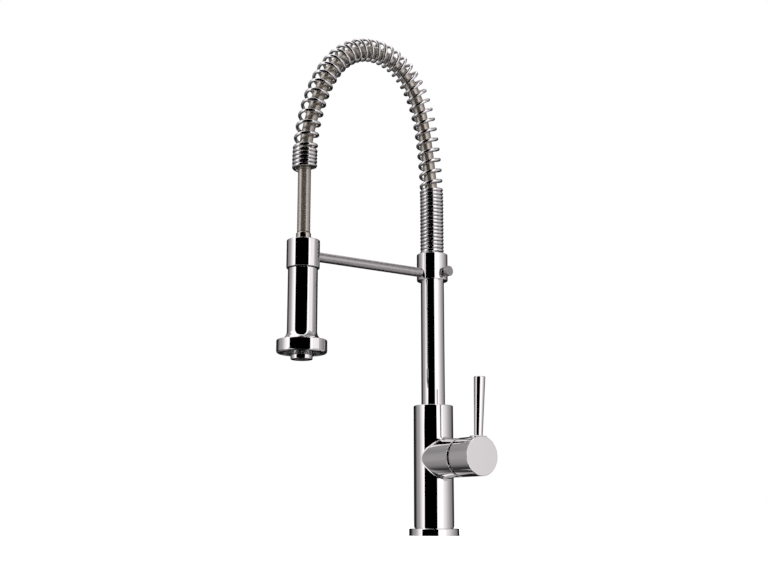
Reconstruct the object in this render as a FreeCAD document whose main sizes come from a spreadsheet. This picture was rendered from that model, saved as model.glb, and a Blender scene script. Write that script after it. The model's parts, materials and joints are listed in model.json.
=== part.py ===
"""Spring kitchen faucet: deck body with a side lever, riser, spring arch, docking arm and hand spray.

Millimetres. The origin is the centre of the base on the deck, +Z is up, the spout reaches to -Y
and the lever stands on +X.
"""
import FreeCAD, Part
import math
import os

import Sketcher

Vector = FreeCAD.Vector

# Driving dimensions, each written once.
SIZES = {
    # Clearances
    "fit": 0.05,
    "running": 0.06,
    "free_gap": 0.3,
    # Base and mixer body
    "body_radius": 20.0,
    "body_edge": 0.8,
    "foot_step": 3.5,
    "flange_overhang": 5.0,
    "flange_height": 7.0,
    "flange_edge": 1.0,
    "shadow_depth": 0.9,
    "shadow_height": 0.8,
    "gasket_inset": 2.5,
    "gasket_width": 3.0,
    "gasket_height": 1.5,
    "inlet_offset": 8.5,
    "inlet_thread_radius": 4.5,
    "inlet_thread_depth": 12.0,
    "inlet_channel_radius": 3.0,
    "stud_spacing": 22.0,
    "stud_hole_radius": 3.4,
    "stud_hole_depth": 12.0,
    # Lever axis and cartridge
    "lever_height": 75.0,
    "boss_length": 45.8,
    "boss_wall": 3.9,
    "boss_edge": 0.6,
    "boss_fillet": 3.0,
    "boss_lip": 1.0,
    "boss_relief": 3.0,
    "cartridge_radius": 15.0,
    "cartridge_depth": 41.8,
    "port_side": 6.0,
    "port_drop": 4.0,
    "port_rise": 6.0,
    "port_radius": 2.2,
    "seal_radius": 3.4,
    "seal_depth": 1.8,
    "cartridge_base_thickness": 5.0,
    "disc_radius": 11.0,
    "disc_thickness": 3.0,
    "mover_radius": 6.5,
    "mover_thickness": 4.5,
    "mover_pocket_depth": 3.0,
    "chamber_step": 0.4,
    "housing_length": 20.0,
    "turret_flange": 3.0,
    "turret_neck_radius": 8.5,
    "turret_stand": 2.0,
    "turret_slot_half_height": 6.9,
    "pivot_reach": 10.2,
    "pivot_pin_radius": 1.5,
    "pivot_pin_half_length": 8.0,
    "nut_bore": 9.6,
    "nut_length": 5.0,
    "ball_radius": 2.4,
    "ball_neck": 4.2,
    "stem_radius": 3.0,
    # Handle
    "seam_gap": 3.2,
    "cap_length": 28.2,
    "cap_edge": 0.7,
    "cap_wall": 1.6,
    "cap_cavity": 15.0,
    "cap_hub_depth": 5.5,
    "cap_screw_radius": 1.5,
    "cap_screw_length": 6.0,
    "lever_inset": 5.4,
    "lever_stud_radius": 2.9,
    "lever_stud_depth": 10.0,
    "lever_foot_radius": 8.5,
    "lever_foot_rise": 0.4,
    "lever_root_radius": 4.2,
    "lever_tip_radius": 5.6,
    "lever_length": 56.9,
    "lever_edge": 0.8,
    # Swivel joint between the body and the riser
    "water_wall": 4.9,
    "nose_length": 13.0,
    "nose_step": 1.0,
    "nose_tip_gap": 1.0,
    "socket_depth": 20.7,
    "bush_wall": 1.9,
    "bush_lip": 2.0,
    "bush_recess": 0.6,
    "spigot_plug": 14.0,
    "spigot_bore": 6.0,
    "o_ring_radius": 0.7,
    "o_ring_first": 3.5,
    "o_ring_step": 4.5,
    "swivel_screw_drop": 9.0,
    "swivel_screw_radius": 2.0,
    "swivel_screw_length": 4.6,
    # Riser, collar, arm and docking ring
    "riser_radius": 12.0,
    "riser_wall": 2.0,
    "riser_rise": 157.3,
    "collar_wall": 4.0,
    "collar_length": 28.0,
    "collar_edge": 0.7,
    "arm_radius": 4.8,
    "arm_rise": 7.5,
    "arm_seat": 2.8,
    "reach": 155.0,
    "ring_wall": 3.2,
    "ring_length": 27.6,
    "ring_drop": 13.5,
    "ring_edge": 0.7,
    "liner_wall": 1.5,
    "liner_inset": 0.5,
    "thumb_thread_radius": 2.5,
    "thumb_collar_radius": 4.9,
    "thumb_collar_length": 1.4,
    "thumb_neck_radius": 2.9,
    "thumb_neck_length": 2.9,
    "thumb_head_radius": 5.2,
    "thumb_head_length": 4.2,
    "thumb_edge": 0.6,
    # Spring and hose
    "wire": 3.4,
    "coil_radius": 10.6,
    "spring_rise": 53.0,
    "spring_tail": 8.4,
    "close_pitch": 3.84,
    "hose_radius": 6.4,
    "hose_bore": 4.2,
    "hose_hug": 2.2,
    "nipple_plug": 12.0,
    "nipple_spigot": 10.0,
    "nipple_barb": 16.0,
    "nipple_bore": 3.0,
    "sleeve_gap": 0.9,
    "sleeve_length": 15.0,
    "guide_recess": 2.5,
    # Hose end and hand spray
    "dock_gap": 0.5,
    "neck_radius": 11.0,
    "neck_recess": 1.0,
    "neck_seat_rise": 10.5,
    "neck_socket_radius": 7.6,
    "neck_bore": 4.5,
    "neck_thread_radius": 9.0,
    "washer_thickness": 2.0,
    "washer_bore": 3.2,
    "tail_radius": 4.0,
    "tail_bore": 2.8,
    "tail_flange_radius": 6.8,
    "tail_flange_height": 4.0,
    "ferrule_radius": 7.3,
    "ferrule_rise": 8.4,
    "ferrule_edge": 2.2,
    "grip_radius": 14.4,
    "grip_wall": 2.2,
    "grip_roof": 10.0,
    "grip_straight": 60.5,
    "grip_edge": 0.6,
    "flare_height": 8.0,
    "flare_out": 4.1,
    "flare_radius": 9.85,
    "core_inset": 1.0,
    "core_bore": 3.5,
    "core_spigot_radius": 8.0,
    "valve_radius": 5.5,
    "valve_length": 13.0,
    "valve_bore": 2.5,
    "clip_thickness": 1.0,
    "clip_depth": 0.8,
    "clip_width": 1.8,
    "bell_gap": 0.8,
    "bell_radius": 24.2,
    "bell_height": 12.8,
    "bell_edge": 2.4,
    "bell_top_edge": 0.9,
    "bell_rim": 2.8,
    "bell_recess": 3.0,
    "bell_counterbore": 4.0,
    "mat_thickness": 1.0,
    "face_thickness": 1.6,
    "nozzle_circle": 16.0,
    "nozzle_band": 4.0,
    "nozzle_radius": 0.9,
    "nozzle_stand": 1.2,
    "aerator_radius": 10.5,
    "aerator_drop": 5.7,
    "aerator_neck_radius": 9.3,
    "aerator_neck_length": 4.2,
    "aerator_bore": 8.0,
    "aerator_lip": 0.6,
    "aerator_edge": 0.8,
    "insert_length": 8.0,
    "insert_jet_radius": 1.1,
    "insert_jet_circle": 5.0,
}

# Counts
CLOSE_TURNS_BELOW = 17.8
OPEN_TURNS = 32.8
CLOSE_TURNS_ABOVE = 5.4
NOZZLES = 24
INSERT_JETS = 8

# Ratios: how the arch's tangent turns along its length, and how far the open turns are drawn apart
# on both legs and more towards the spring's open end.
ARCH_SKEW_RATIO = 0.155
ARCH_FLATNESS_RATIO = 0.441
ARCH_CROWN_RATIO = 0.077
LEG_STRETCH_RATIO = 0.26
LEG_DRIFT_RATIO = 0.12

# How finely the arch is measured along its length, and the turns and hose are cut into arcs.
ARCH_STEPS = 600
TURN_STEPS = 24
ARCS_PER_TURN = 2
HOSE_BIARCS = 16
GAP_SAMPLES_PER_TURN = 24
LEAST_SPRING_GAP = 0.15
VOLUME_TOLERANCE = 0.01
CROSSING_POINTS = 9
CROSSING_LIMIT = 0.01
STRAIGHT_LIMIT = 1e-6
PARALLEL_LIMIT = 1e-9
HALF_TURN = 0.5
HUG_RAMP = 0.2
SLOPE_STEP = 0.05

# Where the spring's wire begins round the riser, as a share of a turn back from the front.
WIRE_START = -0.25

# Where the thumb screw sits round the collar, from +X towards +Y, and how far the lever's pin leans
# outwards, in degrees.
THUMB_BEARING = 10.0
LEVER_LEAN = 3.2

doc = FreeCAD.newDocument("spring_faucet")
sheet = doc.addObject("Spreadsheet::Sheet", "sizes")
pieces = []


class Size:
    """A length that knows its value and the sheet expression that gives it."""

    def __init__(self, value, text):
        self.value = value
        self.text = text

    def combine(self, other, sign, result):
        return Size(result, f"({self.text} {sign} {other.text})")

    def __add__(self, other):
        other = as_size(other)
        return self.combine(other, "+", self.value + other.value)

    def __sub__(self, other):
        other = as_size(other)
        return self.combine(other, "-", self.value - other.value)

    def __mul__(self, other):
        other = as_size(other)
        return self.combine(other, "*", self.value * other.value)

    def __truediv__(self, other):
        other = as_size(other)
        return self.combine(other, "/", self.value / other.value)

    def __neg__(self):
        return as_size(0) - self


def as_size(number):
    return number if isinstance(number, Size) else Size(float(number), str(number))


class Sizes:
    """The sheet's cells, read by alias."""

    def __init__(self):
        self.row = 0

    def put(self, alias, value):
        self.row += 1
        cell = f"B{self.row}"
        sheet.set(f"A{self.row}", alias)
        sheet.set(cell, f"{value:.10g}")
        sheet.setAlias(cell, alias)
        setattr(self, alias, Size(float(value), f"sizes.{alias}"))


def bind(item, prop, size):
    item.setExpression(prop, as_size(size).text)


AXES = {
    "x": FreeCAD.Rotation(Vector(0, 1, 0), 90),
    "y": FreeCAD.Rotation(Vector(1, 0, 0), -90),
    "z": FreeCAD.Rotation(),
    "thumb": FreeCAD.Rotation(Vector(0, 0, 1), THUMB_BEARING) * FreeCAD.Rotation(Vector(0, 1, 0), 90),
    "lever": FreeCAD.Rotation(Vector(0, 1, 0), LEVER_LEAN),
}


def place(item, base=(0, 0, 0), axis="z"):
    item.Placement = FreeCAD.Placement(Vector(), AXES[axis])
    for name, size in zip("xyz", base):
        bind(item, f"Placement.Base.{name}", size)
    return item


def arc_between(start, end, radius):
    """The arc from start to end: to the left for a positive radius, to the right for a negative one."""
    chord = end - start
    across = Vector(-chord.y, chord.x, 0).normalize()
    reach = math.sqrt(max(radius * radius - chord.Length ** 2 / 4, 0))
    centre = (start + end) / 2 + across * math.copysign(reach, radius)
    first, last = (start, end) if radius > 0 else (end, start)
    angles = [math.atan2(point.y - centre.y, point.x - centre.x) for point in (first, last)]
    if angles[1] < angles[0]:
        angles[1] += 2 * math.pi
    return Part.ArcOfCircle(Part.Circle(centre, Vector(0, 0, 1), abs(radius)), *angles)


def turned(label, outline, base=(0, 0, 0), axis="z"):
    """A turned body. The outline's corners are (radius, height), anticlockwise; a third value on a
    corner makes the run up to it an arc of that radius, hollow where the radius is negative."""
    body = doc.addObject("PartDesign::Body", label)
    sketch = body.newObject("Sketcher::SketchObject", label + "_outline")
    plane = [item for item in body.Origin.OriginFeatures if item.Role == "XZ_Plane"][0]
    sketch.AttachmentSupport = (plane, [""])
    sketch.MapMode = "FlatFace"
    corners = [(as_size(corner[0]), as_size(corner[1])) for corner in outline]
    points = [Vector(radius.value, height.value, 0) for radius, height in corners]
    ends = []
    for index, corner in enumerate(outline):
        start = points[index - 1]
        end = points[index]
        if len(corner) == 3:
            bend = as_size(corner[2])
            edge = sketch.addGeometry(arc_between(start, end, bend.value))
            round_size = bend if bend.value > 0 else -bend
            rule = sketch.addConstraint(Sketcher.Constraint("Radius", edge, round_size.value))
            bind(sketch, f"Constraints[{rule}]", round_size)
            ends.append((edge, 1, 2) if bend.value > 0 else (edge, 2, 1))
        else:
            ends.append((sketch.addGeometry(Part.LineSegment(start, end)), 1, 2))
    for index, (edge, _, last) in enumerate(ends):
        following = ends[(index + 1) % len(ends)]
        sketch.addConstraint(Sketcher.Constraint("Coincident", edge, last, following[0], following[1]))
        for kind, size, line in (("DistanceX", corners[index][0], -2), ("DistanceY", corners[index][1], -1)):
            if size.value == 0:
                sketch.addConstraint(Sketcher.Constraint("PointOnObject", edge, last, line))
            else:
                rule = sketch.addConstraint(Sketcher.Constraint(kind, -1, 1, edge, last, size.value))
                bind(sketch, f"Constraints[{rule}]", size)
    turn = body.newObject("PartDesign::Revolution", label + "_turn")
    turn.Profile = sketch
    turn.ReferenceAxis = (sketch, ["V_Axis"])
    turn.Angle = 360
    return place(body, base, axis)


def tube(label, inner, outer, low, high, base=(0, 0, 0), axis="z"):
    return turned(label, [(inner, low), (outer, low), (outer, high), (inner, high)], base, axis)


def rod(name, radius, length, base, axis="z"):
    item = doc.addObject("Part::Cylinder", name)
    bind(item, "Radius", radius)
    bind(item, "Height", length)
    return place(item, base, axis)


def joined(label, items):
    item = doc.addObject("Part::MultiFuse", label)
    item.Shapes = items
    return item


def cut(label, solid, tools):
    item = doc.addObject("Part::Cut", label)
    item.Base = solid
    item.Tool = tools[0] if len(tools) == 1 else joined(label + "_cutters", tools)
    return item


def group(label, items):
    item = doc.addObject("Part::Compound", label)
    item.Links = items
    return item


def keep(item):
    pieces.append(item)
    return item


def ring_places(count, radius):
    """Places on a circle, as (x, y) sizes."""
    places = []
    for index in range(count):
        angle = 2 * math.pi * index / count
        places.append((radius * round(math.cos(angle), 9), radius * round(math.sin(angle), 9)))
    return places


def grub_screw(label, radius, length, base, axis):
    """A headless screw with a hexagon socket in its outer end, which points along the axis."""
    shank = rod(label + "_shank", radius, length, base, axis)
    socket = doc.addObject("Part::Prism", label + "_socket")
    socket.Polygon = 6
    bind(socket, "Circumradius", radius * 0.58)
    bind(socket, "Height", length / 2)
    along = {"x": 0, "y": 1, "z": 2}[axis]
    seat = list(base)
    seat[along] = base[along] + length / 2
    place(socket, seat, axis)
    return keep(cut(label, shank, [socket]))


size = Sizes()
for alias, value in SIZES.items():
    size.put(alias, value)

# Heights and radii that the pieces share.
flange_radius = size.body_radius + size.flange_overhang
foot_radius = size.body_radius - size.foot_step
bore_radius = size.cartridge_radius + size.fit * 2
boss_radius = bore_radius + size.boss_wall
bore_floor = size.boss_length - size.cartridge_depth
nose_radius = size.riser_radius - size.riser_wall - size.nose_step
water_radius = nose_radius + size.running
water_floor = size.lever_height + bore_radius + size.water_wall
socket_floor = water_floor + size.nose_length
body_top = socket_floor + size.socket_depth
bush_bore = size.riser_radius + size.running
bush_radius = bush_bore + size.bush_wall
socket_radius = bush_radius + size.fit
riser_foot = socket_floor + size.bush_lip
riser_bore = size.riser_radius - size.riser_wall
riser_top = body_top + size.riser_rise
collar_radius = size.riser_radius + size.collar_wall
collar_foot = riser_top - size.collar_length
arm_height = collar_foot + size.arm_rise
liner_bore = size.neck_radius + size.free_gap
liner_radius = liner_bore + size.liner_wall
ring_radius = liner_radius + size.fit + size.ring_wall
ring_foot = arm_height - size.ring_drop
ring_top = ring_foot + size.ring_length
coil_inside = size.coil_radius - size.wire / 2
spray_axis = (0, -size.reach, 0)
lever_axis = (0, 0, size.lever_height)


def make_base():
    gasket_inner = foot_radius + size.gasket_inset
    gasket_outer = gasket_inner + size.gasket_width
    keep(turned("base_flange", [
        (foot_radius + size.fit, 0),
        (gasket_inner, 0),
        (gasket_inner, size.gasket_height),
        (gasket_outer, size.gasket_height),
        (gasket_outer, 0),
        (flange_radius, 0),
        (flange_radius, size.flange_height - size.flange_edge),
        (flange_radius - size.flange_edge, size.flange_height, size.flange_edge),
        (foot_radius + size.fit, size.flange_height),
    ]))
    keep(tube("base_gasket", gasket_inner + size.fit, gasket_outer - size.fit, 0, size.gasket_height))


def crossing_edges(shape):
    """Numbers of the edges where the boss runs into the body."""
    numbers = []
    for number, edge in enumerate(shape.Edges, 1):
        points = edge.discretize(CROSSING_POINTS)
        off = [math.hypot(point.x, point.y) - size.body_radius.value for point in points]
        for point in points:
            off.append(math.hypot(point.y, point.z - size.lever_height.value) - boss_radius.value)
        if max(abs(distance) for distance in off) < CROSSING_LIMIT:
            numbers.append(number)
    return numbers


def make_mixer_body():
    shadow_top = size.flange_height + size.shadow_height
    shadow_radius = size.body_radius - size.shadow_depth
    trunk = turned("mixer_body_trunk", [
        (0, 0),
        (foot_radius, 0),
        (foot_radius, size.flange_height),
        (shadow_radius, size.flange_height),
        (shadow_radius, shadow_top),
        (size.body_radius, shadow_top),
        (size.body_radius, body_top - size.body_edge),
        (size.body_radius - size.body_edge, body_top, size.body_edge),
        (socket_radius, body_top),
        (socket_radius, socket_floor),
        (water_radius, socket_floor),
        (water_radius, water_floor),
        (0, water_floor),
    ])
    boss = turned("mixer_body_boss", [
        (0, 0),
        (boss_radius, 0),
        (boss_radius, size.boss_length - size.boss_edge),
        (boss_radius - size.boss_edge, size.boss_length, size.boss_edge),
        (boss_radius - size.boss_lip, size.boss_length),
        (boss_radius - size.boss_lip, size.boss_length - size.boss_relief),
        (0, size.boss_length - size.boss_relief),
    ], lever_axis, "x")
    outlet_height = size.lever_height + size.port_rise
    port_height = size.lever_height - size.port_drop
    outlet_length = water_floor - outlet_height + size.nose_tip_gap
    screw_height = body_top - size.swivel_screw_drop
    cutters = [
        rod("cartridge_bore", bore_radius, size.cartridge_depth, (bore_floor, 0, size.lever_height), "x"),
        rod("outlet_cross", size.port_radius, bore_floor * 2, (0, 0, outlet_height), "x"),
        rod("outlet_rise", size.inlet_channel_radius, outlet_length, (0, 0, outlet_height)),
        rod("swivel_screw_hole", size.swivel_screw_radius + size.fit, size.body_radius,
            (0, 0, screw_height), "y"),
    ]
    for side in (-1, 1):
        inlet = size.inlet_offset * side
        stud = size.stud_spacing * side / 2
        port = (0, size.port_side * side, port_height)
        cutters += [
            rod("inlet_thread", size.inlet_thread_radius, size.inlet_thread_depth, (0, inlet, 0)),
            rod("inlet_rise", size.inlet_channel_radius, port_height, (0, inlet, 0)),
            rod("inlet_cross", size.port_radius, bore_floor * 2, port, "x"),
            rod("stud_hole", size.stud_hole_radius, size.stud_hole_depth, (stud, 0, 0)),
        ]
    blank = joined("mixer_body_blank", [trunk, boss])
    doc.recompute()
    blend = doc.addObject("Part::Fillet", "mixer_body_blend")
    blend.Base = blank
    fillet = size.boss_fillet.value
    blend.Edges = [(number, fillet, fillet) for number in crossing_edges(blank.Shape)]
    keep(cut("mixer_body", blend, cutters))
    screw_start = bush_radius + size.fit
    grub_screw("swivel_screw", size.swivel_screw_radius, size.swivel_screw_length,
               (0, screw_start, screw_height), "y")


# Stations along the lever axis, from the floor of the cartridge bore outwards.
base_front = bore_floor + size.cartridge_base_thickness
disc_front = base_front + size.disc_thickness
mover_front = disc_front + size.mover_thickness
turret_back = mover_front + size.free_gap
turret_shoulder = turret_back + size.turret_flange
chamber_radius = size.disc_radius - size.chamber_step
housing_front = base_front + size.housing_length
pivot_station = turret_back + size.pivot_reach
cap_back = size.boss_length + size.seam_gap
cap_floor = cap_back + size.cap_cavity
hub_floor = cap_floor + size.cap_hub_depth
cap_front = cap_back + size.cap_length
lever_station = cap_front - size.lever_inset
cap_top = size.lever_height + boss_radius


def cartridge_ports(name, radius, start, length):
    """Two inlet ports and one outlet port, as rods along the lever axis."""
    places = [
        (-size.port_side, -size.port_drop),
        (size.port_side, -size.port_drop),
        (as_size(0), size.port_rise),
    ]
    return [rod(name, radius, length, (start, side, size.lever_height + rise), "x") for side, rise in places]


def make_cartridge():
    plate = rod("cartridge_base_plate", size.cartridge_radius, size.cartridge_base_thickness,
                (bore_floor, 0, size.lever_height), "x")
    through = cartridge_ports("base_port", size.port_radius, bore_floor, size.cartridge_base_thickness)
    pockets = cartridge_ports("seal_pocket", size.seal_radius, bore_floor, size.seal_depth)
    keep(cut("cartridge_base", plate, through + pockets))

    seals = cartridge_ports("seal_blank", size.seal_radius - size.fit, bore_floor, size.seal_depth)
    holes = cartridge_ports("seal_hole", size.port_radius, bore_floor, size.seal_depth)
    keep(group("cartridge_seals", [cut("seal", seal, [hole]) for seal, hole in zip(seals, holes)]))

    disc = rod("fixed_disc_blank", size.disc_radius, size.disc_thickness,
               (base_front, 0, size.lever_height), "x")
    disc_ports = cartridge_ports("disc_port", size.port_radius, base_front, size.disc_thickness)
    keep(cut("fixed_disc", disc, disc_ports))

    keep(turned("moving_disc", [
        (0, disc_front),
        (size.mover_radius, disc_front),
        (size.mover_radius, mover_front),
        (size.ball_radius + size.free_gap, mover_front),
        (size.ball_radius + size.free_gap, mover_front - size.mover_pocket_depth),
        (0, mover_front - size.mover_pocket_depth),
    ], lever_axis, "x"))

    neck_bore = size.turret_neck_radius + size.running
    chamber_front = turret_shoulder + size.free_gap
    keep(turned("cartridge_housing", [
        (size.disc_radius + size.fit, base_front),
        (size.cartridge_radius, base_front),
        (size.cartridge_radius, housing_front),
        (neck_bore, housing_front),
        (neck_bore, chamber_front),
        (chamber_radius, chamber_front),
        (chamber_radius, disc_front),
        (size.disc_radius + size.fit, disc_front),
    ], lever_axis, "x"))
    keep(tube("cartridge_nut", size.nut_bore, size.cartridge_radius, housing_front,
              housing_front + size.nut_length, lever_axis, "x"))

    turret_front = housing_front + size.turret_stand
    turret = turned("turret_blank", [
        (0, turret_back),
        (chamber_radius - size.free_gap, turret_back),
        (chamber_radius - size.free_gap, turret_shoulder),
        (size.turret_neck_radius, turret_shoulder),
        (size.turret_neck_radius, turret_front),
        (0, turret_front),
    ], lever_axis, "x")
    slot_half_width = size.stem_radius + size.free_gap
    slot = doc.addObject("Part::Box", "turret_slot")
    bind(slot, "Length", turret_front - turret_back)
    bind(slot, "Width", slot_half_width * 2)
    bind(slot, "Height", size.turret_slot_half_height * 2)
    place(slot, (turret_back, -slot_half_width, size.lever_height - size.turret_slot_half_height))
    pin_start = (pivot_station, -size.pivot_pin_half_length, size.lever_height)
    pin_length = size.pivot_pin_half_length * 2
    pin_hole = rod("turret_pin_hole", size.pivot_pin_radius + size.fit, pin_length, pin_start, "y")
    keep(cut("cartridge_turret", turret, [slot, pin_hole]))
    keep(rod("stem_pivot_pin", size.pivot_pin_radius, pin_length, pin_start, "y"))

    stem = turned("stem_blank", [
        (0, mover_front - size.ball_radius),
        (size.ball_radius, mover_front, size.ball_radius),
        (size.stem_radius, mover_front + size.ball_neck),
        (size.stem_radius, hub_floor - size.fit),
        (0, hub_floor - size.fit),
    ], lever_axis, "x")
    stem_hole = rod("stem_pin_hole", size.pivot_pin_radius + size.running, pin_length, pin_start, "y")
    keep(cut("cartridge_stem", stem, [stem_hole]))


def make_handle():
    cap_inside = boss_radius - size.cap_wall
    stem_bore = size.stem_radius + size.fit
    cap = turned("handle_cap_blank", [
        (cap_inside, cap_back),
        (boss_radius - size.boss_edge, cap_back),
        (boss_radius, cap_back + size.boss_edge, size.boss_edge),
        (boss_radius, cap_front - size.cap_edge),
        (boss_radius - size.cap_edge, cap_front, size.cap_edge),
        (0, cap_front),
        (0, hub_floor),
        (stem_bore, hub_floor),
        (stem_bore, cap_floor),
        (cap_inside, cap_floor),
    ], lever_axis, "x")
    stud_foot = cap_top - size.lever_stud_depth
    screw_station = cap_floor + size.cap_hub_depth / 2
    screw_top = size.lever_height - stem_bore
    screw_low = screw_top - size.cap_screw_length
    keep(cut("handle_cap", cap, [
        rod("lever_stud_hole", size.lever_stud_radius + size.fit, size.lever_stud_depth,
            (lever_station, 0, stud_foot)),
        rod("cap_screw_hole", size.cap_screw_radius + size.fit, boss_radius,
            (screw_station, 0, size.lever_height - boss_radius)),
    ]))
    shank = rod("cap_screw_shank", size.cap_screw_radius, size.cap_screw_length,
                (screw_station, 0, screw_low))
    socket = doc.addObject("Part::Prism", "cap_screw_socket")
    socket.Polygon = 6
    bind(socket, "Circumradius", size.cap_screw_radius * 0.58)
    bind(socket, "Height", size.cap_screw_length / 2)
    place(socket, (screw_station, 0, screw_low))
    keep(cut("cap_screw", shank, [socket]))

    foot_top = cap_top + size.lever_foot_rise
    foot_low = cap_top - size.lever_foot_radius / 2
    foot = turned("lever_foot", [
        (0, foot_low),
        (size.lever_foot_radius, foot_low),
        (size.lever_foot_radius, foot_top - size.lever_edge),
        (size.lever_foot_radius - size.lever_edge, foot_top, size.lever_edge),
        (0, foot_top),
    ], (lever_station, 0, 0))
    pin = turned("lever_shank", [
        (0, -size.lever_root_radius),
        (size.lever_root_radius, -size.lever_root_radius),
        (size.lever_root_radius, 0),
        (size.lever_tip_radius, size.lever_length - size.lever_edge),
        (size.lever_tip_radius - size.lever_edge, size.lever_length, size.lever_edge),
        (0, size.lever_length),
    ], (lever_station, 0, foot_top), "lever")
    saddle = rod("lever_saddle", boss_radius + size.fit, size.lever_foot_radius * 4,
                 (lever_station - size.lever_foot_radius * 2, 0, size.lever_height), "x")
    trim = doc.addObject("Part::Box", "lever_foot_trim")
    bind(trim, "Length", size.lever_foot_radius)
    bind(trim, "Width", size.lever_foot_radius * 2)
    bind(trim, "Height", foot_top - foot_low)
    place(trim, (cap_front - size.cap_edge, -size.lever_foot_radius, foot_low))
    stud = rod("lever_stud", size.lever_stud_radius, size.lever_stud_depth + size.lever_foot_rise,
               (lever_station, 0, stud_foot))
    blank = joined("lever_pin_blank", [foot, pin])
    keep(joined("lever_pin", [cut("lever_pin_upper", blank, [saddle, trim]), stud]))


def make_swivel():
    keep(turned("swivel_bush", [
        (nose_radius + size.free_gap, socket_floor),
        (bush_radius, socket_floor),
        (bush_radius, body_top - size.bush_recess),
        (bush_bore, body_top - size.bush_recess),
        (bush_bore, riser_foot),
        (nose_radius + size.free_gap, riser_foot),
    ]))
    nose_tip = water_floor + size.nose_tip_gap
    groove_half = size.o_ring_radius + size.fit * 2
    groove_floor = nose_radius - groove_half * 2
    corners = [(size.spigot_bore, nose_tip), (nose_radius, nose_tip)]
    heights = [nose_tip + size.o_ring_first, nose_tip + size.o_ring_first + size.o_ring_step]
    for height in heights:
        corners += [
            (nose_radius, height - groove_half),
            (groove_floor, height - groove_half),
            (groove_floor, height + groove_half),
            (nose_radius, height + groove_half),
        ]
    plug_radius = riser_bore - size.fit
    corners += [
        (nose_radius, riser_foot),
        (plug_radius, riser_foot),
        (plug_radius, riser_foot + size.spigot_plug),
        (size.spigot_bore, riser_foot + size.spigot_plug),
    ]
    keep(turned("riser_spigot", corners))
    rings = []
    for height in heights:
        ring = doc.addObject("Part::Torus", "swivel_o_ring")
        bind(ring, "Radius1", nose_radius - groove_half)
        bind(ring, "Radius2", size.o_ring_radius)
        rings.append(place(ring, (0, 0, height)))
    keep(group("swivel_o_rings", rings))
    keep(tube("riser_tube", riser_bore, size.riser_radius, riser_foot, riser_top))


def rounded_tube(label, inner, outer, low, high, edge, base=(0, 0, 0)):
    """A tube whose outer rims are rounded."""
    return turned(label, [
        (inner, low),
        (outer - edge, low),
        (outer, low + edge, edge),
        (outer, high - edge),
        (outer - edge, high, edge),
        (inner, high),
    ], base)


def make_dock():
    arm_bore = size.arm_radius + size.fit
    collar = rounded_tube("dock_collar_blank", size.riser_radius + size.fit, collar_radius, collar_foot,
                          riser_top, size.collar_edge)
    collar_seat = collar_radius - size.arm_seat
    ring_seat = ring_radius - size.arm_seat
    keep(cut("dock_collar", collar, [
        rod("collar_arm_socket", arm_bore, size.arm_seat * 2,
            (0, -collar_seat - size.arm_seat * 2, arm_height), "y"),
        rod("thumb_hole", size.thumb_thread_radius + size.running, collar_radius,
            (0, 0, arm_height), "thumb"),
    ]))
    ring = rounded_tube("dock_ring_blank", liner_radius + size.fit, ring_radius, ring_foot, ring_top,
                        size.ring_edge, spray_axis)
    keep(cut("dock_ring", ring, [
        rod("ring_arm_socket", arm_bore, size.arm_seat * 2, (0, ring_seat - size.reach, arm_height), "y"),
    ]))
    keep(rod("dock_arm", size.arm_radius, size.reach - collar_seat - ring_seat,
             (0, ring_seat - size.reach, arm_height), "y"))
    keep(tube("dock_liner", liner_bore, liner_radius, ring_foot + size.liner_inset,
              ring_top - size.liner_inset, spray_axis))
    thumb_tip = size.riser_radius + size.fit * 2
    thumb_back = collar_radius + size.free_gap
    thumb_neck = thumb_back + size.thumb_collar_length
    head_back = thumb_neck + size.thumb_neck_length
    head_front = head_back + size.thumb_head_length
    keep(turned("thumb_screw", [
        (0, thumb_tip),
        (size.thumb_thread_radius, thumb_tip),
        (size.thumb_thread_radius, thumb_back),
        (size.thumb_collar_radius, thumb_back),
        (size.thumb_collar_radius, thumb_neck),
        (size.thumb_neck_radius, thumb_neck),
        (size.thumb_neck_radius, head_back),
        (size.thumb_head_radius - size.thumb_edge, head_back),
        (size.thumb_head_radius, head_back + size.thumb_edge, size.thumb_edge),
        (size.thumb_head_radius, head_front - size.thumb_edge),
        (size.thumb_head_radius - size.thumb_edge, head_front, size.thumb_edge),
        (0, head_front),
    ], (0, 0, arm_height), "thumb"))


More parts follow.
